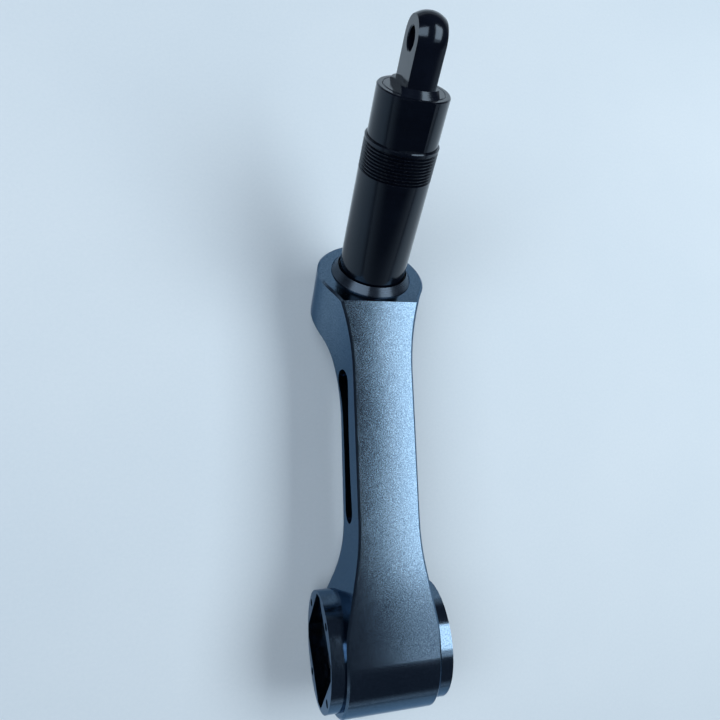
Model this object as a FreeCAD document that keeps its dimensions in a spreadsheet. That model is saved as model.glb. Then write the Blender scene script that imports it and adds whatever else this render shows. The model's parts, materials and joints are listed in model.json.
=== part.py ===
import FreeCAD, Part
import math
import os
import Sketcher

# Gate opener arm: a flanged hub on the gate motor shaft, a waisted arm, and a
# threaded strut with a sliding eye plunger, held in the head of the arm.
# Row frame: origin at the hub centre, +X along the hub axis, +Y from the hub
# to the head along the surface the arm lies on, +Z up off that surface.
# All sizes are millimetres and degrees.

DIMS = [
    # hub
    ("hub_round", 41.0),           # radius of the rounded hub end
    ("hub_half_width", 30.2),      # hub centre to the side face
    ("flange_step", 4.0),          # hub round to the flange edge
    ("flange_rise", 9.0),          # side face to the flange face
    ("recess_wall", 9.2),          # flange edge to the flat of the recess
    ("recess_lip", 2.0),           # flange edge to the corner of the recess
    ("socket_step", 2.8),          # ledge that carries the insert plate
    ("socket_half_length", 20.0),
    ("square_turn", 43.0),         # turn of the square about the hub axis
    ("flange_hole_inset", 4.6),    # flange edge to the hole circle
    ("flange_hole_size", 5.0),
    ("drive_bore", 15.0),
    ("plate_thick", 5.0),
    # arm
    ("waist_half", 20.2),
    ("waist_back", -2.5),          # height of the underside at the waist
    ("waist_low_end", 88.0),
    ("shoulder_end", 18.0),
    ("slot_low", 90.0),
    ("slot_high", 173.0),
    ("slot_low_height", 13.6),
    ("slot_high_height", 10.4),
    ("slot_low_round", 8.4),
    ("slot_high_round", 9.6),
    ("slot_waist", 6.9),
    ("slot_web", 15.4),            # metal left between the two side hollows
    ("edge_break", 1.4),
    # head and strut line
    ("ring_y", 248.2),
    ("ring_z", 12.0),
    ("strut_rise", 48.0),          # degrees above +Y
    ("head_wall", 11.0),           # metal round the head bore
    ("head_length", 38.0),
    ("head_floor", 5.0),           # metal under the head bore
    ("chord_wall", 5.0),           # metal between the bore and the arm's top
    ("head_blend", 100.0),
    ("under_blend", 60.0),
    ("hub_blend", 50.0),
    # gland and bush
    ("bush_wall", 3.5),
    ("gland_lip", 1.5),
    ("gland_taper", 3.6),
    ("gland_height", 5.6),
    ("gland_gap", 1.0),            # strut tube to the gland mouth
    ("wiper_room", 2.4),           # strut tube to the wiper's groove
    ("gland_spigot", 8.0),
    ("bush_length", 14.0),
    ("washer_thick", 2.0),
    ("foot_thick", 4.8),
    # strut tube
    ("tube_radius", 22.5),
    ("tube_wall", 4.0),
    ("mouth_step", 0.6),
    ("mouth_length", 34.0),
    ("neck_step", 1.25),
    ("neck_flat_cut", 1.25),
    ("thread_low", 75.4),
    ("thread_pitch", 2.0),
    ("thread_turns", 9.0),
    ("thread_land", 2.4),           # last groove to the neck
    ("tube_top", 123.7),
    # plunger and eye
    ("plunger_stroke", 22.0),
    ("guide_depth", 62.0),         # rim to the underside of the stem guide
    ("guide_length", 8.0),
    ("stem_reach", 50.0),          # stem guide to the end washer
    ("stem_radius", 8.0),
    ("disc_proud", 0.2),
    ("cone_step", 3.6),
    ("cone_height", 3.1),
    ("tang_half", 8.2),
    ("tang_ledge", 2.8),           # flat of the tang to the wrench cut
    ("eye_rise", 24.4),            # rim to eye centre
    ("eye_radius", 6.0),
]

doc = FreeCAD.newDocument("GateOpenerArm")
sheet = doc.addObject("Spreadsheet::Sheet", "Sizes")
for row, (alias, value) in enumerate(DIMS, start=1):
    sheet.set("A%d" % row, alias)
    sheet.set("B%d" % row, repr(value))
    sheet.setAlias("B%d" % row, alias)
doc.recompute()

V = FreeCAD.Vector
VALUES = dict(DIMS)


# sizes that follow from others: first term, then signed terms added to it
FOLLOWS = {
    "flange_radius": ("hub_round", "-flange_step"),
    "flange_half_span": ("hub_half_width", "+flange_rise"),
    "recess_half": ("hub_round", "-flange_step", "-recess_wall"),
    "recess_corner": ("hub_round", "-flange_step", "-recess_lip"),
    "socket_half": ("recess_half", "-socket_step"),
    "socket_corner": ("recess_corner", "-socket_step"),
    "flange_hole_circle": ("flange_radius", "-flange_hole_inset"),
    "head_bore": ("tube_radius", "+bush_wall"),
    "head_radius": ("head_bore", "+head_wall"),
    "head_bore_depth": ("head_length", "-head_floor"),
    "head_chord": ("head_bore", "+chord_wall"),
    "gland_base": ("head_bore", "+gland_lip"),
    "gland_top": ("gland_base", "-gland_taper"),
    "gland_mouth": ("tube_radius", "+gland_gap"),
    "tube_inner": ("tube_radius", "-tube_wall"),
    "mouth_radius": ("tube_inner", "-mouth_step"),
    "neck_radius": ("tube_radius", "-neck_step"),
    "neck_flat": ("neck_radius", "-neck_flat_cut"),
    "cone_top": ("mouth_radius", "-cone_step"),
}


def size(name):
    """Value of one size."""
    if name in VALUES:
        return VALUES[name]
    terms = FOLLOWS[name]
    total = size(terms[0])
    for term in terms[1:]:
        step = size(term[1:])
        total += step if term[0] == "+" else -step
    return total


def ref(name):
    """Expression for one size."""
    if name in VALUES:
        return "Sizes.%s" % name
    terms = FOLLOWS[name]
    return "(" + ref(terms[0]) + "".join(" %s %s" % (t[0], ref(t[1:])) for t in terms[1:]) + ")"


BODIES = {}
RISE = math.radians(size("strut_rise"))
COS_RISE = math.cos(RISE)
SIN_RISE = math.sin(RISE)
TO_STRUT = FreeCAD.Placement(V(0, size("ring_y"), size("ring_z")),
                             FreeCAD.Rotation(V(1, 0, 0), size("strut_rise") - 90.0))


def strut_point(across, along):
    """Side-view (y, z) of a point: across the strut line and along it."""
    y = size("ring_y") + SIN_RISE * across + COS_RISE * along
    z = size("ring_z") - COS_RISE * across + SIN_RISE * along
    return (y, z)


def new_body(name, on_strut=False):
    """PartDesign body; the strut pieces are built upright and then laid over."""
    body = doc.addObject("PartDesign::Body", name)
    body.Label = name
    if on_strut:
        body.Placement = TO_STRUT
        body.setExpression("Placement.Base.y", ref("ring_y"))
        body.setExpression("Placement.Base.z", ref("ring_z"))
        body.setExpression("Placement.Rotation.Angle", "90 deg - %s * 1 deg" % ref("strut_rise"))
        body.setExpression("Placement.Rotation.Axis.x", "-1")
    BODIES[name] = body
    return body


def new_sketch(body, name, role, offset=None):
    """Sketch on one of the body's own origin planes."""
    sketch = body.newObject("Sketcher::SketchObject", name)
    plane = [f for f in body.Origin.OriginFeatures if f.Role == role][0]
    sketch.AttachmentSupport = [(plane, "")]
    sketch.MapMode = "FlatFace"
    if offset is not None:
        sketch.AttachmentOffset = offset
    return sketch


def add_circle(sketch, x, y, alias=None, radius=None):
    """Circle, with its radius bound to a driving size when one is named."""
    r = size(alias) if alias else radius
    geo = sketch.addGeometry(Part.Circle(V(x, y, 0), V(0, 0, 1), r), False)
    con = sketch.addConstraint(Sketcher.Constraint("Radius", geo, r))
    if alias:
        sketch.setExpression("Constraints[%d]" % con, ref(alias))
    if abs(x) < 1e-9 and abs(y) < 1e-9:
        sketch.addConstraint(Sketcher.Constraint("Coincident", geo, 3, -1, 1))
    return geo


def add_path(sketch, pieces):
    """Closed outline from ("line", p, q) and ("arc", start, middle, end)."""
    for piece in pieces:
        pts = [V(p[0], p[1], 0) for p in piece[1:]]
        if piece[0] == "line":
            sketch.addGeometry(Part.LineSegment(pts[0], pts[1]), False)
        else:
            sketch.addGeometry(Part.Arc(pts[0], pts[1], pts[2]), False)


def add_polygon(sketch, points):
    """Closed outline of straight lines."""
    ends = points[1:] + points[:1]
    add_path(sketch, [("line", p, q) for p, q in zip(points, ends)])


def revolve(body, name, points):
    """Solid of revolution about the body's own Z axis from (radius, z) points."""
    sketch = new_sketch(body, name + "_outline", "XZ_Plane")
    add_polygon(sketch, points)
    turn = body.newObject("PartDesign::Revolution", name)
    turn.Profile = sketch
    turn.ReferenceAxis = (sketch, ["V_Axis"])
    turn.Angle = 360.0
    return turn


def pad(body, name, sketch, length, alias=None, both=False, reverse=False):
    feature = body.newObject("PartDesign::Pad", name)
    feature.Profile = sketch
    feature.Length = length
    if both:
        feature.SideType = "Symmetric"
    if alias:
        feature.setExpression("Length", alias)
    feature.Reversed = reverse
    return feature


def pocket(body, name, sketch, length, alias=None, both=False, reverse=False):
    feature = body.newObject("PartDesign::Pocket", name)
    feature.Profile = sketch
    feature.Length = length
    if both:
        feature.SideType = "Symmetric"
    if alias:
        feature.setExpression("Length", alias)
    feature.Reversed = reverse
    return feature


def tangent_blend(p, q, r, radius):
    """Arc of one radius between the lines p-q and q-r: start, middle, end."""
    a = V(p[0] - q[0], p[1] - q[1], 0).normalize()
    b = V(r[0] - q[0], r[1] - q[1], 0).normalize()
    half = a.getAngle(b) / 2.0
    reach = radius / math.tan(half)
    centre_way = (a + b).normalize()
    corner = V(q[0], q[1], 0)
    start = corner + a * reach
    end = corner + b * reach
    middle = corner + centre_way * (radius / math.sin(half) - radius)
    return [(v.x, v.y) for v in (start, middle, end)]


def arc_point(cx, cy, radius, degrees):
    a = math.radians(degrees)
    return (cx + radius * math.cos(a), cy + radius * math.sin(a))


def cut_square(sketch, half, corner, turn):
    """Square with its corners cut by a circle, turned about the centre."""
    edge = math.degrees(math.acos(half / corner))
    pieces = []
    for k in range(4):
        side = turn + 90.0 * k
        p = arc_point(0, 0, corner, side - edge)
        q = arc_point(0, 0, corner, side + edge)
        r = arc_point(0, 0, corner, side + 90.0 - edge)
        m = arc_point(0, 0, corner, side + 45.0)
        pieces.append(("line", p, q))
        pieces.append(("arc", q, m, r))
    add_path(sketch, pieces)


# ---------------------------------------------------------------- arm body
arm = new_body("arm_body")

ring_back = strut_point(size("head_radius"), 0.0)
ring_front = strut_point(-size("head_chord"), 0.0)
end_back = strut_point(size("head_radius"), -size("head_length"))
end_front = strut_point(-60.0, -size("head_length"))
back = size("waist_back")
span = (end_back[1] - back) / (end_back[1] - end_front[1])
under_corner = (end_back[0] + span * (end_front[0] - end_back[0]), back)

front_reach = math.hypot(ring_front[0], ring_front[1])
front_turn = math.atan2(ring_front[1], ring_front[0]) + math.acos(size("hub_round") / front_reach)
front_touch = arc_point(0, 0, size("hub_round"), math.degrees(front_turn))
hub_turn = -48.0
hub_touch = arc_point(0, 0, size("hub_round"), hub_turn)
hub_way = (-math.sin(math.radians(hub_turn)), math.cos(math.radians(hub_turn)))
run = (back - hub_touch[1]) / hub_way[1]
hub_corner = (hub_touch[0] + hub_way[0] * run, back)
hub_far = arc_point(0, 0, size("hub_round"), (math.degrees(front_turn) + hub_turn + 360.0) / 2.0)

under = tangent_blend(end_back, under_corner, hub_corner, size("under_blend"))
lower = tangent_blend(under_corner, hub_corner, hub_touch, size("hub_blend"))
side_view = new_sketch(arm, "side_view", "YZ_Plane")
add_path(side_view, [
    ("line", ring_front, ring_back),
    ("line", ring_back, end_back),
    ("line", end_back, under[0]),
    ("arc", under[0], under[1], under[2]),
    ("line", under[2], lower[0]),
    ("arc", lower[0], lower[1], lower[2]),
    ("line", lower[2], hub_touch),
    ("arc", hub_touch, hub_far, front_touch),
    ("line", front_touch, ring_front),
])
pad(arm, "arm_blank", side_view, 90.0, both=True)

# plan of the head, seen along the strut line
waist = size("waist_half")
blend = size("head_blend")
head = size("head_radius")
blend_y = -math.sqrt((head + blend) ** 2 - (waist + blend) ** 2)
touch = ((waist + blend) * head / (head + blend), blend_y * head / (head + blend))
mid_way = math.atan2(0.5 * (touch[1] + blend_y) - blend_y, 0.5 * (touch[0] + waist) - (waist + blend))
mid = (waist + blend + blend * math.cos(mid_way), blend_y + blend * math.sin(mid_way))
head_plan = new_sketch(arm, "head_plan", "XY_Plane", TO_STRUT)
add_path(head_plan, [
    ("line", (waist, blend_y), (waist, -105.0)),
    ("line", (waist, -105.0), (60.0, -145.0)),
    ("line", (60.0, -145.0), (60.0, 60.0)),
    ("line", (60.0, 60.0), (-60.0, 60.0)),
    ("line", (-60.0, 60.0), (-60.0, -145.0)),
    ("line", (-60.0, -145.0), (-waist, -105.0)),
    ("line", (-waist, -105.0), (-waist, blend_y)),
    ("arc", (-waist, blend_y), (-mid[0], mid[1]), (-touch[0], touch[1])),
    ("arc", (-touch[0], touch[1]), (0.0, head), touch),
    ("arc", touch, mid, (waist, blend_y)),
])
pocket(arm, "head_sides", head_plan, 600.0, both=True)

# plan of the waist and hub, seen from above
hub_w = size("hub_half_width")
low_end = size("waist_low_end")
knee = (waist, low_end - 18.0)
waist_arc = tangent_blend((waist, low_end + 20.0), knee, (hub_w, size("shoulder_end")), 160.0)
hub_arc = tangent_blend(knee, (hub_w, size("shoulder_end")), (hub_w, -60.0), 60.0)
waist_plan = new_sketch(arm, "waist_plan", "XY_Plane")
for sign in (1.0, -1.0):
    outline = [
        ("line", (waist, 140.0), waist_arc[0]),
        ("arc", waist_arc[0], waist_arc[1], waist_arc[2]),
        ("line", waist_arc[2], hub_arc[0]),
        ("arc", hub_arc[0], hub_arc[1], hub_arc[2]),
        ("line", hub_arc[2], (hub_w, -60.0)),
        ("line", (hub_w, -60.0), (60.0, -60.0)),
        ("line", (60.0, -60.0), (60.0, 180.0)),
        ("line", (60.0, 180.0), (waist, 140.0)),
    ]
    add_path(waist_plan, [(p[0],) + tuple((sign * q[0], q[1]) for q in p[1:]) for p in outline])
pocket(arm, "waist_sides", waist_plan, 300.0, both=True)

flange_round = new_sketch(arm, "flange_round", "YZ_Plane")
add_circle(flange_round, 0.0, 0.0, "flange_radius")
pad(arm, "flanges", flange_round, 2.0 * size("flange_half_span"),
    "2 * " + ref("flange_half_span"), both=True)

# long hollow in each side of the arm
low = (size("slot_low"), size("slot_low_height"))
high = (size("slot_high"), size("slot_high_height"))
slot_way = math.atan2(high[1] - low[1], high[0] - low[0])
slot_tilt = math.degrees(slot_way)
mid_y = 0.5 * (low[0] + high[0])
mid_z = 0.5 * (low[1] + high[1])
half_wide = size("slot_waist")
up = (-math.sin(slot_way), math.cos(slot_way))
slot_pieces = [
    ("arc", arc_point(low[0], low[1], size("slot_low_round"), slot_tilt + 90.0),
     arc_point(low[0], low[1], size("slot_low_round"), slot_tilt + 180.0),
     arc_point(low[0], low[1], size("slot_low_round"), slot_tilt + 270.0)),
    ("arc", arc_point(low[0], low[1], size("slot_low_round"), slot_tilt + 270.0),
     (mid_y - half_wide * up[0], mid_z - half_wide * up[1]),
     arc_point(high[0], high[1], size("slot_high_round"), slot_tilt + 270.0)),
    ("arc", arc_point(high[0], high[1], size("slot_high_round"), slot_tilt + 270.0),
     arc_point(high[0], high[1], size("slot_high_round"), slot_tilt),
     arc_point(high[0], high[1], size("slot_high_round"), slot_tilt + 90.0)),
    ("arc", arc_point(high[0], high[1], size("slot_high_round"), slot_tilt + 90.0),
     (mid_y + half_wide * up[0], mid_z + half_wide * up[1]),
     arc_point(low[0], low[1], size("slot_low_round"), slot_tilt + 90.0)),
]
slot_floor = 0.5 * size("slot_web")
for name, sign in (("right", 1.0), ("left", -1.0)):
    plane = FreeCAD.Placement(V(0, 0, sign * slot_floor), FreeCAD.Rotation())
    slot = new_sketch(arm, "slot_" + name, "YZ_Plane", plane)
    add_path(slot, slot_pieces)
    pocket(arm, "hollow_" + name, slot, 40.0, reverse=(sign > 0))

# square socket through the hub with a wider recess in each flange
socket = new_sketch(arm, "socket", "YZ_Plane")
cut_square(socket, size("socket_half"), size("socket_corner"), 90.0 - size("square_turn"))
pocket(arm, "socket_cut", socket, 120.0, both=True)
for name, sign in (("right", 1.0), ("left", -1.0)):
    plane = FreeCAD.Placement(V(0, 0, sign * size("socket_half_length")), FreeCAD.Rotation())
    recess = new_sketch(arm, "recess_" + name, "YZ_Plane", plane)
    cut_square(recess, size("recess_half"), size("recess_corner"), 90.0 - size("square_turn"))
    pocket(arm, "recess_cut_" + name, recess, 30.0, reverse=(sign > 0))

# four bolt holes straight through both flanges
holes = new_sketch(arm, "flange_holes", "YZ_Plane")
for k in range(4):
    y, z = arc_point(0, 0, size("flange_hole_circle"), 90.0 - size("square_turn") + 90.0 * k)
    add_circle(holes, y, z, None, 0.5 * size("flange_hole_size"))
pocket(arm, "flange_holes_cut", holes, 200.0, both=True)

bore = new_sketch(arm, "head_bore", "XY_Plane", TO_STRUT)
add_circle(bore, 0.0, 0.0, "head_bore")
pocket(arm, "head_bore_cut", bore, size("head_bore_depth"), ref("head_bore_depth"))
doc.recompute()


def pick_edges(feature, test):
    """Names of the edges whose middle point passes a test."""
    names = []
    for k, edge in enumerate(feature.Shape.Edges, start=1):
        middle = edge.valueAt(0.5 * (edge.FirstParameter + edge.LastParameter))
        if test(edge, middle):
            names.append("Edge%d" % k)
    return names


def on_outline(point, width):
    """True when a point lies on the arm's side-view outline, off the middle."""
    vertex = Part.Vertex(V(0, point.y, point.z))
    return abs(point.x) > width and side_view.Shape.distToShape(vertex)[0] < 0.02


def is_rim(edge, middle):
    first = edge.valueAt(edge.FirstParameter)
    last = edge.valueAt(edge.LastParameter)
    if abs(first.x - last.x) > 15.0 or abs(middle.x) > size("head_radius") + 1.0:
        return False
    return all(on_outline(p, 14.0) for p in (first, middle, last))


rims = pick_edges(doc.getObject("head_bore_cut"), is_rim)
if rims:
    rim_break = arm.newObject("PartDesign::Chamfer", "edge_break")
    rim_break.Base = (doc.getObject("head_bore_cut"), rims)
    rim_break.Size = size("edge_break")
    rim_break.setExpression("Size", ref("edge_break"))
    doc.recompute()

# ------------------------------------------------------- fixed in the arm
tube = size("tube_radius")
bore_r = size("head_bore")
seat = size("gland_spigot")
swivel_gap = 0.3
run_gap = 0.05

gland = new_body("gland_ring", on_strut=True)
revolve(gland, "gland_turn", [
    (tube + swivel_gap, -seat), (bore_r, -seat),
    (bore_r, -seat + 0.9), (bore_r - 1.4, -seat + 0.9),
    (bore_r - 1.4, -seat + 2.7), (bore_r, -seat + 2.7),
    (bore_r, 0.0), (size("gland_base"), 0.0), (size("gland_base"), 0.7),
    (size("gland_top"), size("gland_height")),
    (size("gland_mouth") + 0.2, size("gland_height")),
    (size("gland_mouth"), size("gland_height") - 0.2),
    (size("gland_mouth"), 1.4), (tube + size("wiper_room"), 1.4),
    (tube + size("wiper_room"), -4.0), (tube + swivel_gap, -4.0),
])

wiper = new_body("wiper_seal", on_strut=True)
revolve(wiper, "wiper_turn", [
    (tube + swivel_gap, -4.0), (tube + size("wiper_room"), -4.0),
    (tube + size("wiper_room"), 1.4), (size("gland_mouth"), 1.4),
    (tube + swivel_gap + 0.3, 4.2), (tube + swivel_gap, 4.2),
])

bush_foot = -seat - size("bush_length")
guide = new_body("guide_bush", on_strut=True)
revolve(guide, "guide_turn", [
    (tube + run_gap, bush_foot), (bore_r, bush_foot),
    (bore_r, -seat), (tube + run_gap, -seat),
])

thick = size("washer_thick")
thrust = new_body("thrust_washer", on_strut=True)
revolve(thrust, "thrust_turn", [
    (tube + swivel_gap, bush_foot - thick), (bore_r, bush_foot - thick),
    (bore_r, bush_foot), (tube + swivel_gap, bush_foot),
])

bore_floor = -size("head_bore_depth")
foot_end = bore_floor + thick + 1.0
base = new_body("base_washer", on_strut=True)
revolve(base, "base_turn", [
    (12.0, bore_floor), (bore_r, bore_floor),
    (bore_r, foot_end - 0.2), (12.0, foot_end - 0.2),
])

half_length = size("socket_half_length")
plate_thick = size("plate_thick")
drive_bore = size("drive_bore")
plate_hole = drive_bore + 2.0
screw_circle = 0.5 * (drive_bore + size("socket_half")) + 0.4
screw_r = 2.5
square_way = 90.0 - size("square_turn")

insert = new_body("drive_insert")
insert_plan = new_sketch(insert, "insert_plan", "YZ_Plane")
cut_square(insert_plan, size("socket_half") - 0.05, size("socket_corner") - 0.2, square_way)
pad(insert, "insert_block", insert_plan, 2.0 * half_length,
    "2 * " + ref("socket_half_length"), both=True)
insert_bore = new_sketch(insert, "insert_bore", "YZ_Plane")
add_circle(insert_bore, 0.0, 0.0, None, drive_bore)
pocket(insert, "insert_bore_cut", insert_bore, 100.0, both=True)
keyway = new_sketch(insert, "keyway", "YZ_Plane")
key_top = drive_bore + 3.3
add_polygon(keyway, [(-4.0, 10.0), (4.0, 10.0), (4.0, key_top), (-4.0, key_top)])
pocket(insert, "keyway_cut", keyway, 100.0, both=True)
for name, sign in (("right", 1.0), ("left", -1.0)):
    plane = FreeCAD.Placement(V(0, 0, sign * (half_length - 12.0)), FreeCAD.Rotation())
    taps = new_sketch(insert, "taps_" + name, "YZ_Plane", plane)
    for k in range(4):
        y, z = arc_point(0, 0, screw_circle, square_way + 90.0 * k)
        add_circle(taps, y, z, None, screw_r)
    pocket(insert, "taps_cut_" + name, taps, 30.0, reverse=(sign > 0))

for name, sign in (("right", 1.0), ("left", -1.0)):
    plate = new_body("insert_plate_" + name)
    plane = FreeCAD.Placement(V(0, 0, sign * half_length), FreeCAD.Rotation())
    outline = new_sketch(plate, "plate_plan_" + name, "YZ_Plane", plane)
    cut_square(outline, size("recess_half") - 0.1, size("recess_corner") - 0.2, square_way)
    add_circle(outline, 0.0, 0.0, None, plate_hole)
    for k in range(4):
        y, z = arc_point(0, 0, screw_circle, square_way + 90.0 * k)
        add_circle(outline, y, z, None, screw_r)
    pad(plate, "plate_block_" + name, outline, plate_thick, reverse=(sign < 0))


def primitive(kind, name, placement, **values):
    obj = doc.addObject(kind, name)
    for key, value in values.items():
        setattr(obj, key, value)
    obj.Placement = placement
    return obj


def boolean(kind, name, base_obj, tool_obj):
    obj = doc.addObject(kind, name)
    obj.Base = base_obj
    obj.Tool = tool_obj
    return obj


def group(name, parts):
    """Several loose solids kept as one named piece."""
    obj = doc.addObject("Part::Compound", name)
    obj.Links = parts
    obj.Label = name
    BODIES[name] = obj
    return obj


screws = []
for side, sign in (("right", 1.0), ("left", -1.0)):
    turn = FreeCAD.Rotation(V(0, 1, 0), 90.0 * sign)
    for k in range(4):
        tag = "%s_%d" % (side, k + 1)
        y, z = arc_point(0, 0, screw_circle, square_way + 90.0 * k)
        face = sign * (half_length + plate_thick)
        shank = primitive("Part::Cylinder", "shank_" + tag,
                          FreeCAD.Placement(V(face - sign * 15.0, y, z), turn),
                          Radius=screw_r, Height=15.0)
        cap = primitive("Part::Cylinder", "cap_" + tag,
                        FreeCAD.Placement(V(face, y, z), turn), Radius=4.2, Height=4.0)
        hexagon = primitive("Part::Prism", "hexagon_" + tag,
                            FreeCAD.Placement(V(face + sign * 1.8, y, z), turn),
                            Polygon=6, Circumradius=2.3, Height=5.0)
        whole = boolean("Part::Fuse", "screw_" + tag, cap, shank)
        screws.append(boolean("Part::Cut", "cut_screw_" + tag, whole, hexagon))
group("plate_screws", screws)

# ------------------------------------------------------------ strut tube
inner = size("tube_inner")
mouth = size("mouth_radius")
top = size("tube_top")
low_thread = size("thread_low")
pitch = size("thread_pitch")
turns = int(size("thread_turns"))
high_thread = low_thread + pitch * turns + size("thread_land") - 0.2
neck = size("neck_radius")
mouth_low = top - size("mouth_length")
seat_low = top - size("guide_depth")
circlip_low = seat_low - 1.2
seat_high = seat_low + size("guide_length")
clip_groove = inner + 0.7
seal_low = top - 9.0

outline = [(inner, foot_end), (tube - 0.8, foot_end), (tube, foot_end + 0.8)]
for k in range(turns):
    z = low_thread + pitch * k
    outline += [(tube, z), (tube - 1.15, z + 0.8), (tube - 1.15, z + 1.0), (tube, z + 1.8)]
outline += [
    (tube, high_thread - 0.6), (tube - 0.6, high_thread),
    (neck, high_thread), (neck, top - 0.7), (neck - 0.7, top),
    (mouth + 0.4, top), (mouth, top - 0.4),
    (mouth, seal_low + 2.0), (mouth + 1.1, seal_low + 2.0),
    (mouth + 1.1, seal_low), (mouth, seal_low),
    (mouth, mouth_low), (inner, mouth_low),
]
for z in (seat_high, circlip_low):
    outline += [(inner, z + 1.2), (clip_groove, z + 1.2), (clip_groove, z), (inner, z)]
strut = new_body("strut_tube", on_strut=True)
revolve(strut, "tube_turn", outline)
flats = new_sketch(strut, "neck_flats", "YZ_Plane")
flat = size("neck_flat")
for sign in (1.0, -1.0):
    add_polygon(flats, [(sign * flat, high_thread), (sign * 40.0, high_thread),
                        (sign * 40.0, top + 5.0), (sign * flat, top + 5.0)])
pocket(strut, "neck_flats_cut", flats, 80.0, both=True)

foot_ring = new_body("foot_ring", on_strut=True)
foot = size("foot_thick")
ring_top = bush_foot - thick - 0.2
revolve(foot_ring, "foot_ring_turn", [
    (tube, ring_top - foot), (bore_r - 0.5, ring_top - foot),
    (bore_r - 0.5, ring_top), (tube, ring_top),
])

plug = new_body("foot_plug", on_strut=True)
revolve(plug, "plug_turn", [
    (0.0, foot_end), (inner, foot_end), (inner, foot_end + 2.6),
    (inner - 1.4, foot_end + 2.6), (inner - 1.4, foot_end + 4.4),
    (inner, foot_end + 4.4), (inner, foot_end + 8.0), (0.0, foot_end + 8.0),
])


def seal_ring(name, inside, outside, middle):
    """Round-section ring seal filling its groove."""
    wire = 0.5 * (outside - inside)
    place = TO_STRUT.multiply(FreeCAD.Placement(V(0, 0, middle), FreeCAD.Rotation()))
    obj = primitive("Part::Torus", name, place, Radius1=inside + wire, Radius2=wire)
    obj.Label = name
    BODIES[name] = obj
    return obj


seal_ring("gland_o_ring", bore_r - 1.4, bore_r, -seat + 1.8)
seal_ring("plug_o_ring", inner - 1.4, inner, foot_end + 3.5)
seal_ring("mouth_o_ring", mouth + 0.2, mouth + 1.1, seal_low + 1.0)

stem = size("stem_radius")
stem_guide = new_body("stem_guide", on_strut=True)
revolve(stem_guide, "stem_guide_turn", [
    (stem + run_gap, seat_low), (inner, seat_low),
    (inner, seat_high), (stem + run_gap, seat_high),
])

clips = []
for tag, z in (("low", circlip_low), ("high", seat_high)):
    place = TO_STRUT.multiply(FreeCAD.Placement(V(0, 0, z), FreeCAD.Rotation()))
    disc = primitive("Part::Cylinder", "clip_disc_" + tag, place, Radius=clip_groove, Height=1.2)
    hole = primitive("Part::Cylinder", "clip_hole_" + tag, place, Radius=inner - 1.8, Height=1.2)
    gap = primitive("Part::Box", "clip_gap_" + tag,
                    TO_STRUT.multiply(FreeCAD.Placement(V(-3.0, 10.0, z), FreeCAD.Rotation())),
                    Length=6.0, Width=12.0, Height=1.2)
    ring = boolean("Part::Cut", "clip_ring_" + tag, disc, hole)
    clips.append(boolean("Part::Cut", "clip_" + tag, ring, gap))
group("guide_circlips", clips)

bump_high = seat_high + 4.0
bump = new_body("bump_washer", on_strut=True)
revolve(bump, "bump_turn", [
    (stem + 0.4, seat_high), (inner - 2.8, seat_high),
    (inner - 2.8, bump_high - 0.6), (inner - 3.4, bump_high), (stem + 0.4, bump_high),
])

# --------------------------------------------------------------- plunger
disc = mouth - run_gap
disc_top = top + size("disc_proud")
cone = size("cone_top")
shoulder = disc_top + size("cone_height")
eye = top + size("eye_rise")
stem_top = bump_high + 14.0
plunger = new_body("eye_plunger", on_strut=True)
dome = new_sketch(plunger, "plunger_outline", "XZ_Plane")
rise = eye - shoulder
add_path(dome, [
    ("line", (0.0, stem_top), (stem - 2.0, stem_top)),
    ("line", (stem - 2.0, stem_top), (stem - 2.0, bump_high)),
    ("line", (stem - 2.0, bump_high), (disc - 0.8, bump_high)),
    ("line", (disc - 0.8, bump_high), (disc, bump_high + 0.8)),
    ("line", (disc, bump_high + 0.8), (disc, disc_top - 0.5)),
    ("line", (disc, disc_top - 0.5), (disc - 0.5, disc_top)),
    ("line", (disc - 0.5, disc_top), (cone, shoulder)),
    ("line", (cone, shoulder), (cone, eye)),
    ("arc", (cone, eye), (cone * math.sqrt(0.5), eye + cone * math.sqrt(0.5)), (0.0, eye + cone)),
    ("line", (0.0, eye + cone), (0.0, stem_top)),
])
plunger_turn = plunger.newObject("PartDesign::Revolution", "plunger_turn")
plunger_turn.Profile = dome
plunger_turn.ReferenceAxis = (dome, ["V_Axis"])
plunger_turn.Angle = 360.0
tang = size("tang_half")
sides = new_sketch(plunger, "tang_sides", "XZ_Plane")
for sign in (1.0, -1.0):
    add_polygon(sides, [
        (sign * (tang + size("tang_ledge")), disc_top), (sign * 30.0, disc_top),
        (sign * 30.0, eye + 40.0), (sign * tang, eye + 40.0),
        (sign * tang, shoulder), (sign * (tang + size("tang_ledge")), shoulder),
    ])
pocket(plunger, "tang_sides_cut", sides, 80.0, both=True)
eye_hole = new_sketch(plunger, "eye_hole", "YZ_Plane")
hole_geo = add_circle(eye_hole, 0.0, eye, "eye_radius")
pocket(plunger, "eye_hole_cut", eye_hole, 80.0, both=True)
doc.recompute()


def is_eye_rim(edge, middle):
    ends = [edge.valueAt(edge.FirstParameter), middle]
    return all(abs(math.hypot(p.y, p.z - eye) - size("eye_radius")) < 0.01 for p in ends)


eye_rims = pick_edges(doc.getObject("eye_hole_cut"), is_eye_rim)
if eye_rims:
    eye_break = plunger.newObject("PartDesign::Chamfer", "eye_break")
    eye_break.Base = (doc.getObject("eye_hole_cut"), eye_rims)
    eye_break.Size = 0.6

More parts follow.
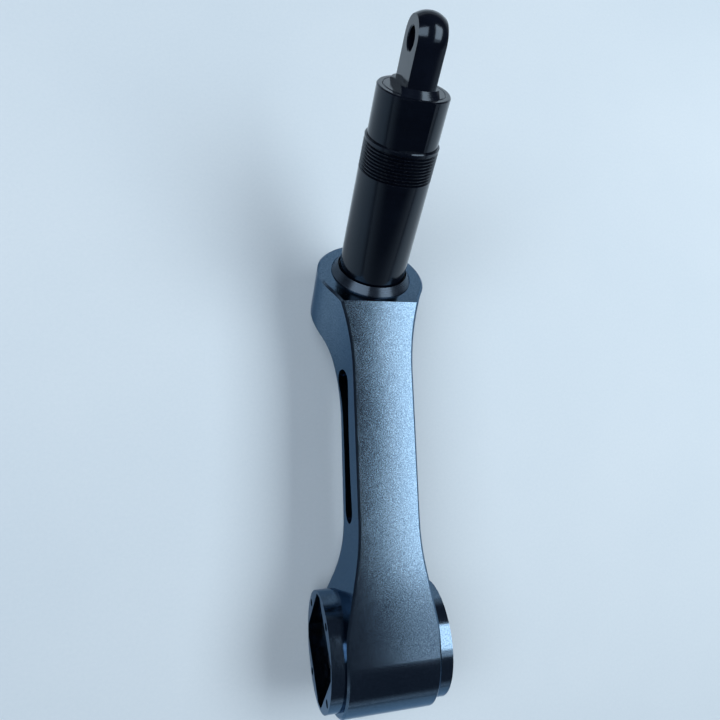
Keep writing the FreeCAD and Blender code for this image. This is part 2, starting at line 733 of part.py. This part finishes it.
washer_low = seat_low - size("stem_reach")
nut_low = washer_low - 8.0
buffer_low = washer_low + 2.0
stem_body = new_body("plunger_stem", on_strut=True)
revolve(stem_body, "stem_turn", [
    (0.0, nut_low - 2.0), (4.4, nut_low - 2.0), (5.0, nut_low - 1.4), (5.0, washer_low),
    (stem, washer_low), (stem, bump_high), (stem - 2.0, bump_high),
    (stem - 2.0, stem_top), (0.0, stem_top),
])
washer = new_body("seat_washer", on_strut=True)
revolve(washer, "washer_turn", [
    (stem, washer_low), (inner - 2.5, washer_low),
    (inner - 2.5, buffer_low), (stem, buffer_low),
])
buffer_top = seat_low - size("plunger_stroke") - 0.2
cushion = new_body("buffer_ring", on_strut=True)
mid_b = 0.5 * (buffer_low + buffer_top)
revolve(cushion, "buffer_turn", [
    (stem, buffer_low), (inner - 3.5, buffer_low), (inner - 3.5, mid_b - 3.0),
    (inner - 5.5, mid_b), (inner - 3.5, mid_b + 3.0), (inner - 3.5, buffer_top),
    (stem, buffer_top),
])
nut = new_body("stem_nut", on_strut=True)
nut_plan = new_sketch(nut, "nut_plan", "XY_Plane",
                      FreeCAD.Placement(V(0, 0, nut_low), FreeCAD.Rotation()))
add_polygon(nut_plan, [arc_point(0, 0, 9.8, 60.0 * k) for k in range(6)])
add_circle(nut_plan, 0.0, 0.0, None, 5.0)
pad(nut, "nut_block", nut_plan, 8.0)
doc.recompute()

# ---------------------------------------------------------------- writing
problems = []
for obj in doc.Objects:
    if "Invalid" in obj.State or "Error" in obj.State:
        problems.append("%s: %s" % (obj.Name, obj.State))
for name, body in BODIES.items():
    if body.Shape.isNull() or not body.Shape.isValid() or not body.Shape.Solids:
        problems.append("%s: bad shape" % name)
if problems:
    raise RuntimeError("; ".join(problems))
os.makedirs("parts", exist_ok=True)
for name, body in BODIES.items():
    body.Shape.exportStep("parts/%s.step" % name)
print("nodes", len(BODIES))
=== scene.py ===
import bpy
import json
import math
from mathutils import Matrix, Quaternion, Vector


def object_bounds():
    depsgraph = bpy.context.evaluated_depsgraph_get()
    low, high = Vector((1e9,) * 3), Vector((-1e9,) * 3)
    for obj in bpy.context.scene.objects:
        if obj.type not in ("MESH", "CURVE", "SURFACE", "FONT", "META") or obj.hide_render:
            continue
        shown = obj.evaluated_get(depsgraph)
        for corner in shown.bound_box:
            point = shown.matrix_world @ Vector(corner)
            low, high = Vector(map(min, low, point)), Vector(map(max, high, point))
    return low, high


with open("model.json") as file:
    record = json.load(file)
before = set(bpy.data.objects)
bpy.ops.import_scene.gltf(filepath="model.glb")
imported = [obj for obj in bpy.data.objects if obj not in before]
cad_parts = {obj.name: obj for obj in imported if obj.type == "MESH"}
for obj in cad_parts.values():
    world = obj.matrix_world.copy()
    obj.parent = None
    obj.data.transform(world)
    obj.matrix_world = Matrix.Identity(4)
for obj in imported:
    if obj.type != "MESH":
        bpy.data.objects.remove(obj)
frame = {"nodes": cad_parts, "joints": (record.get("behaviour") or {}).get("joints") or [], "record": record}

cad_low_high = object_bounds()
scene = bpy.context.scene
nodes = frame["nodes"]
record = frame["record"]

# metres throughout
FLOOR_HALF = 6.0
FLOOR_Y = 0.15
FLOOR_GAP = 0.0002  # below the lowest point of the CAD
ARM_EDGE = 0.0006  # how far wear reaches from an edge of the arm
TURNED_EDGE = 0.0004  # and from an edge of a turned piece
RING_SCALE = 2600.0  # noise cells per metre along a turned axis
RING_STRETCH = 0.03  # how much slower the rings change across that axis
GRIME = 0.5  # how much smears can raise a turned piece's roughness

# the strut's frame: X across the arm, Z out along the strut
swivel = [j for j in frame["joints"] if j["name"] == "strut_swivel"][0]
STRUT_AT = Vector(swivel["pos_m"])
STRUT_OUT = Vector(swivel["axis"]).normalized()
STRUT_SIDE = Vector((1.0, 0.0, 0.0))
STRUT_FRONT = STRUT_OUT.cross(STRUT_SIDE).normalized()
STRUT_FRAME = Matrix((STRUT_SIDE, STRUT_FRONT, STRUT_OUT)).transposed().to_4x4()
STRUT_FRAME.translation = STRUT_AT


class Graph:
    """A material's node graph, built left to right."""

    def __init__(self, name):
        self.mat = bpy.data.materials.new(name)
        self.mat.use_nodes = True
        self.tree = self.mat.node_tree
        self.tree.nodes.clear()
        self.out = self.node("OutputMaterial")
        self.shader = self.node("BsdfPrincipled")
        self.link(self.shader.outputs["BSDF"], self.out.inputs["Surface"])
        self.place = self.node("TexCoord").outputs["Object"]

    def node(self, kind):
        return self.tree.nodes.new("ShaderNode" + kind)

    def link(self, a, b):
        self.tree.links.new(a, b)

    def feed(self, socket, value):
        """A constant is set on the socket; anything else is linked to it."""
        if isinstance(value, (int, float, tuple)):
            socket.default_value = value
        else:
            self.link(value, socket)

    def mapped(self, scale=(1, 1, 1), turn=(0, 0, 0), move=(0, 0, 0), source=None):
        n = self.node("Mapping")
        n.inputs["Location"].default_value = move
        n.inputs["Rotation"].default_value = turn
        n.inputs["Scale"].default_value = scale
        self.link(source or self.place, n.inputs["Vector"])
        return n.outputs["Vector"]

    def noise(self, scale, detail, rough, vector=None):
        n = self.node("TexNoise")
        n.inputs["Scale"].default_value = scale
        n.inputs["Detail"].default_value = detail
        n.inputs["Roughness"].default_value = rough
        self.link(vector or self.place, n.inputs["Vector"])
        return n.outputs["Fac"]

    def cells(self, scale):
        n = self.node("TexVoronoi")
        n.inputs["Scale"].default_value = scale
        self.link(self.place, n.inputs["Vector"])
        return n.outputs["Distance"]

    def span(self, value, a, b, c, d):
        """value from a..b onto c..d, clamped."""
        n = self.node("MapRange")
        self.link(value, n.inputs["Value"])
        for key, v in zip(("From Min", "From Max", "To Min", "To Max"), (a, b, c, d)):
            n.inputs[key].default_value = v
        return n.outputs["Result"]

    def math(self, op, a, b):
        n = self.node("Math")
        n.operation = op
        self.feed(n.inputs[0], a)
        self.feed(n.inputs[1], b)
        return n.outputs[0]

    def mixed(self, *pairs):
        """The sum of (value, weight) pairs."""
        total = None
        for value, weight in pairs:
            part = self.math("MULTIPLY", value, weight)
            total = part if total is None else self.math("ADD", total, part)
        return total

    def blend(self, fac, a, b):
        n = self.node("Mix")
        n.data_type = "RGBA"
        self.feed(n.inputs["Factor"], fac)
        self.feed(n.inputs["A"], a)
        self.feed(n.inputs["B"], b)
        return n.outputs["Result"]

    def bump(self, height, strength, distance):
        n = self.node("Bump")
        n.inputs["Strength"].default_value = strength
        n.inputs["Distance"].default_value = distance
        self.link(height, n.inputs["Height"])
        return n.outputs["Normal"]

    def edge(self, radius, low, high):
        """1 near an outer or inner edge, 0 on open faces."""
        soft = self.node("Bevel")
        soft.samples = 4
        soft.inputs["Radius"].default_value = radius
        geo = self.node("NewGeometry")
        dot = self.node("VectorMath")
        dot.operation = "DOT_PRODUCT"
        self.link(soft.outputs["Normal"], dot.inputs[0])
        self.link(geo.outputs["Normal"], dot.inputs[1])
        return self.span(dot.outputs["Value"], low, high, 1.0, 0.0)

    def set(self, **values):
        names = {"color": "Base Color", "rough": "Roughness", "metal": "Metallic",
                 "ior": "IOR", "normal": "Normal", "tint": "Specular Tint"}
        for key, value in values.items():
            self.feed(self.shader.inputs[names[key]], value)
        return self.mat


def rgb(r, g, b):
    return (r, g, b, 1.0)


def anodised(name, dark, light, rough, grain, strength):
    """Bead-blasted, dyed aluminium: grain in height, tone and gloss."""
    g = Graph(name)
    fine = g.noise(grain, 2.0, 0.6)
    coarse = g.noise(grain * 0.46, 2.0, 0.6)
    pits = g.span(g.cells(grain * 0.55), 0.10, 0.45, 0.0, 1.0)
    cloud = g.noise(17.0, 4.0, 0.6)
    tone = g.mixed((fine, 0.40), (coarse, 0.50), (cloud, 0.10))
    color = g.blend(g.span(tone, 0.36, 0.64, 0.0, 1.0), dark, light)
    pitted = rgb(*[c * 0.55 for c in dark[:3]])
    color = g.blend(g.span(pits, 0.0, 0.35, 0.35, 0.0), color, pitted)
    worn = g.edge(ARM_EDGE, 0.90, 0.995)
    flecks = g.span(g.noise(900.0, 2.0, 0.7), 0.56, 0.70, 0.0, 0.45)
    rubbed = rgb(light[0] * 2.0, light[1] * 1.9, light[2] * 1.8)
    color = g.blend(g.math("MULTIPLY", worn, flecks), color, rubbed)
    shine = g.math("ADD", g.span(fine, 0.3, 0.7, rough - 0.04, rough + 0.05),
                   g.span(cloud, 0.35, 0.65, -0.015, 0.03))
    height = g.mixed((fine, 0.5), (coarse, 0.5))
    return g.set(color=color, rough=shine, metal=1.0, tint=rgb(0.50, 0.60, 0.72),
                 normal=g.bump(height, strength, 0.0003))


def strut_coords(g):
    """Coordinates with Z along the strut, for turned and ground marks."""
    back = STRUT_FRAME.inverted()
    return g.mapped(turn=back.to_euler("XYZ"), move=back.translation)


def turned(name, dark, light, rough, metal, ior=1.5, on_strut=True,
           tint=rgb(1.0, 1.0, 1.0)):
    """Lathe-turned or ground metal with rings, fine scratches and handling marks."""
    g = Graph(name)
    if on_strut:
        place = strut_coords(g)
        thin = (RING_STRETCH, RING_STRETCH, 1.0)
    else:
        place = g.place
        thin = (1.0, RING_STRETCH, RING_STRETCH)
    rings = g.noise(RING_SCALE, 2.0, 0.7, g.mapped(thin, source=place))
    bands = g.noise(RING_SCALE * 0.11, 2.0, 0.5, g.mapped(thin, source=place))
    smear = g.noise(38.0, 5.0, 0.65, place)
    speck = g.noise(1500.0, 2.0, 0.6, place)
    tone = g.mixed((rings, 0.35), (smear, 0.65))
    color = g.blend(g.span(tone, 0.38, 0.62, 0.0, 1.0), dark, light)
    worn = g.edge(TURNED_EDGE, 0.88, 0.99)
    rubbed = rgb(*[min(1.0, c * 4.0 + 0.05) for c in light[:3]])
    color = g.blend(g.math("MULTIPLY", worn, g.span(speck, 0.50, 0.66, 0.0, 0.7)),
                    color, rubbed)
    shine = g.math("ADD", g.span(smear, 0.35, 0.68, rough * 0.8, rough * (1.0 + GRIME)),
                   g.span(rings, 0.3, 0.7, -0.02, 0.03))
    height = g.mixed((rings, 0.6), (bands, 0.4), (speck, 0.15))
    return g.set(color=color, rough=shine, metal=metal, ior=ior, tint=tint,
                 normal=g.bump(height, 0.12, 0.00012))


def moulded(name, dark, light, rough, grain, strength):
    """Rubber or cast polymer: fine mottling, dusty bloom and a soft surface grain."""
    g = Graph(name)
    fine = g.noise(grain, 3.0, 0.6)
    bloom = g.noise(60.0, 4.0, 0.6)
    tone = g.mixed((fine, 0.4), (bloom, 0.6))
    color = g.blend(g.span(tone, 0.38, 0.62, 0.0, 1.0), dark, light)
    shine = g.span(bloom, 0.35, 0.65, rough - 0.06, rough + 0.08)
    return g.set(color=color, rough=shine, metal=0.0, normal=g.bump(fine, strength, 0.0002))


MATERIALS = {
    "arm_anodised": anodised(
        "arm_anodised", rgb(0.054, 0.090, 0.140), rgb(0.162, 0.232, 0.308),
        rough=0.12, grain=2600.0, strength=0.09),
    "gland_anodised": turned(
        "gland_anodised", rgb(0.016, 0.022, 0.034), rgb(0.032, 0.044, 0.064),
        rough=0.20, metal=0.55, ior=1.6, tint=rgb(0.66, 0.84, 1.0)),
    "tube_black": turned(
        "tube_black", rgb(0.0008, 0.0014, 0.0036), rgb(0.0022, 0.0034, 0.0075),
        rough=0.10, metal=0.0, ior=1.46, tint=rgb(0.62, 0.80, 1.0)),
    "eye_black": turned(
        "eye_black", rgb(0.0010, 0.0016, 0.0042), rgb(0.0028, 0.0042, 0.0095),
        rough=0.12, metal=0.0, ior=1.50, tint=rgb(0.66, 0.82, 1.0)),
    "insert_steel": turned(
        "insert_steel", rgb(0.26, 0.26, 0.28), rgb(0.40, 0.40, 0.42),
        rough=0.30, metal=1.0, on_strut=False),
    "plate_black": turned(
        "plate_black", rgb(0.014, 0.014, 0.017), rgb(0.030, 0.030, 0.034),
        rough=0.38, metal=0.5, on_strut=False),
    "screw_steel": turned(
        "screw_steel", rgb(0.05, 0.05, 0.056), rgb(0.12, 0.12, 0.13),
        rough=0.32, metal=1.0, on_strut=False),
    "bush_bronze": turned(
        "bush_bronze", rgb(0.36, 0.22, 0.09), rgb(0.52, 0.35, 0.16),
        rough=0.28, metal=1.0),
    "seal_rubber": moulded(
        "seal_rubber", rgb(0.010, 0.010, 0.012), rgb(0.024, 0.024, 0.027),
        rough=0.52, grain=2200.0, strength=0.2),
    "washer_polymer": moulded(
        "washer_polymer", rgb(0.10, 0.10, 0.11), rgb(0.16, 0.16, 0.17),
        rough=0.45, grain=1600.0, strength=0.15),
    "bump_polymer": moulded(
        "bump_polymer", rgb(0.20, 0.09, 0.02), rgb(0.32, 0.16, 0.05),
        rough=0.40, grain=1200.0, strength=0.12),
}
for part in record["subparts"]:
    mesh = nodes[part["node"]].data
    mesh.materials.clear()
    mesh.materials.append(MATERIALS[part["material_slot"]])


def floor_material():
    """Pale board: faint broad clouds and a fine tooth."""
    g = Graph("pale_floor")
    soft = g.noise(3.0, 4.0, 0.55)
    fine = g.noise(420.0, 3.0, 0.6)
    tone = g.mixed((soft, 0.75), (fine, 0.25))
    color = g.blend(g.span(tone, 0.35, 0.65, 0.0, 1.0),
                    rgb(0.70, 0.79, 0.87), rgb(0.77, 0.85, 0.92))
    return g.set(color=color, rough=g.span(soft, 0.3, 0.7, 0.55, 0.7), metal=0.0,
                 normal=g.bump(fine, 0.05, 0.0004))


low_z = cad_low_high[0][2]
floor_mesh = bpy.data.meshes.new("floor")
corners = [(x * FLOOR_HALF, y * FLOOR_HALF, 0.0)
           for x, y in ((-1, -1), (1, -1), (1, 1), (-1, 1))]
floor_mesh.from_pydata(corners, [], [(0, 1, 2, 3)])
floor_mesh.materials.append(floor_material())
floor = bpy.data.objects.new("floor", floor_mesh)
scene.collection.objects.link(floor)
floor.location = (0.0, FLOOR_Y, low_z - FLOOR_GAP)


def area(name, at, aim, wide, tall, strength, color):
    """A soft rectangular lamp; strength is its brightness as seen."""
    data = bpy.data.lights.new(name, "AREA")
    data.shape = "RECTANGLE"
    data.size = wide
    data.size_y = tall
    data.energy = strength * math.pi * wide * tall
    data.color = color
    lamp = bpy.data.objects.new(name, data)
    lamp.location = at
    lamp.rotation_euler = (Vector(aim) - Vector(at)).to_track_quat("-Z", "Y").to_euler()
    lamp.visible_camera = False
    scene.collection.objects.link(lamp)


area("softbox", at=(1.05, 0.45, 1.50), aim=(1.05, 0.45, 0.0),
     wide=1.10, tall=1.40, strength=5.0, color=(0.90, 0.97, 1.0))
area("softbox_low", at=(1.02, -0.42, 1.46), aim=(1.02, -0.42, 0.0),
     wide=1.08, tall=0.36, strength=1.2, color=(0.86, 0.94, 1.0))
area("left_box", at=(-1.00, 0.42, 1.46), aim=(-0.83, 0.40, 0.0),
     wide=0.90, tall=1.50, strength=4.0, color=(0.88, 0.95, 1.0))

# a plain studio surround, pale at the horizon and dark overhead
HORIZON = (0.46, 0.52, 0.58, 1.0)
OVERHEAD = (0.050, 0.060, 0.082, 1.0)
OVERHEAD_FROM = 0.22

world = bpy.data.worlds.new("studio")
scene.world = world
world.use_nodes = True
tree = world.node_tree
tree.nodes.clear()
sky_out = tree.nodes.new("ShaderNodeOutputWorld")
sky = tree.nodes.new("ShaderNodeBackground")
coord = tree.nodes.new("ShaderNodeTexCoord")
split = tree.nodes.new("ShaderNodeSeparateXYZ")
fade = tree.nodes.new("ShaderNodeValToRGB")
tree.links.new(coord.outputs["Generated"], split.inputs["Vector"])
tree.links.new(split.outputs["Z"], fade.inputs["Fac"])
tree.links.new(fade.outputs["Color"], sky.inputs["Color"])
tree.links.new(sky.outputs["Background"], sky_out.inputs["Surface"])
fade.color_ramp.elements[0].position = 0.0
fade.color_ramp.elements[0].color = HORIZON
fade.color_ramp.elements[1].position = OVERHEAD_FROM
fade.color_ramp.elements[1].color = OVERHEAD
sky.inputs["Strength"].default_value = 1.0

# the photograph's camera, worked out from the hub, head and strut
cam_data = bpy.data.cameras.new("camera")
cam_data.sensor_width = 36.0
cam_data.lens = 29.7
cam_data.clip_start = 0.01
camera = bpy.data.objects.new("camera", cam_data)
scene.collection.objects.link(camera)
camera.location = (-0.11851, 0.15094, 0.39635)
camera.rotation_mode = "QUATERNION"
camera.rotation_quaternion = Quaternion((0.989336, 0.04862, -0.137124, -0.006897))
scene.camera = camera

scene.view_settings.view_transform = "Standard"
